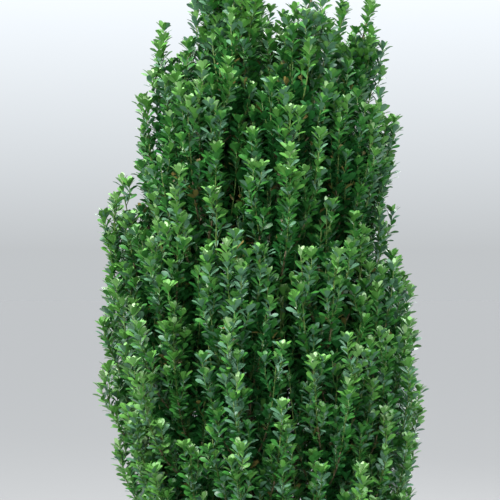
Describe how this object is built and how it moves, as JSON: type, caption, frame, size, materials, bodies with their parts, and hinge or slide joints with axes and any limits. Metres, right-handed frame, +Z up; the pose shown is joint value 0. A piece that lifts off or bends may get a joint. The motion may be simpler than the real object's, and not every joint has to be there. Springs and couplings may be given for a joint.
{
  "type": "potted japanese holly",
  "caption": "Columnar evergreen shrub of upright leafy plumes on a short flared trunk, in a tapered round pot with a banded rim.",
  "frame": {"origin": "centre of the pot's flat underside", "axes": "+Z up along the pot's axis, +X to the right and -Y towards the viewer in the reference view"},
  "size_m": [0.7082, 0.6932, 1.8386],
  "materials": {
    "pot": "matte terracotta",
    "soil": "crumbly",
    "bark": "rough",
    "foliage": "semi-gloss"
  },
  "bodies": {
    "root": {"pot": "pot", "soil": "soil", "trunk": "bark", "bough_low_1": "bark", "bough_low_2": "bark", "bough_low_3": "bark", "bough_low_4": "bark", "bough_low_5": "bark", "bough_low_6": "bark", "bough_low_7": "bark", "bough_low_8": "bark", "bough_low_9": "bark", "bough_low_10": "bark", "bough_mid_1": "bark", "bough_mid_2": "bark", "bough_mid_3": "bark", "bough_mid_4": "bark", "bough_mid_5": "bark", "bough_mid_6": "bark", "bough_mid_7": "bark", "bough_mid_8": "bark", "bough_top_1": "bark", "bough_top_2": "bark", "bough_top_3": "bark", "bough_top_4": "bark", "bough_top_5": "bark", "bough_top_6": "bark", "bough_middle": "bark", "foliage_low_1": "foliage", "foliage_low_2": "foliage", "foliage_low_3": "foliage", "foliage_low_4": "foliage", "foliage_low_5": "foliage", "foliage_low_6": "foliage", "foliage_low_7": "foliage", "foliage_low_8": "foliage", "foliage_low_9": "foliage", "foliage_low_10": "foliage", "foliage_mid_1": "foliage", "foliage_mid_2": "foliage", "foliage_mid_3": "foliage", "foliage_mid_4": "foliage", "foliage_mid_5": "foliage", "foliage_mid_6": "foliage", "foliage_mid_7": "foliage", "foliage_mid_8": "foliage", "foliage_top_1": "foliage", "foliage_top_2": "foliage", "foliage_top_3": "foliage", "foliage_top_4": "foliage", "foliage_top_5": "foliage", "foliage_top_6": "foliage", "foliage_middle": "foliage"}
  },
  "joints": []
}
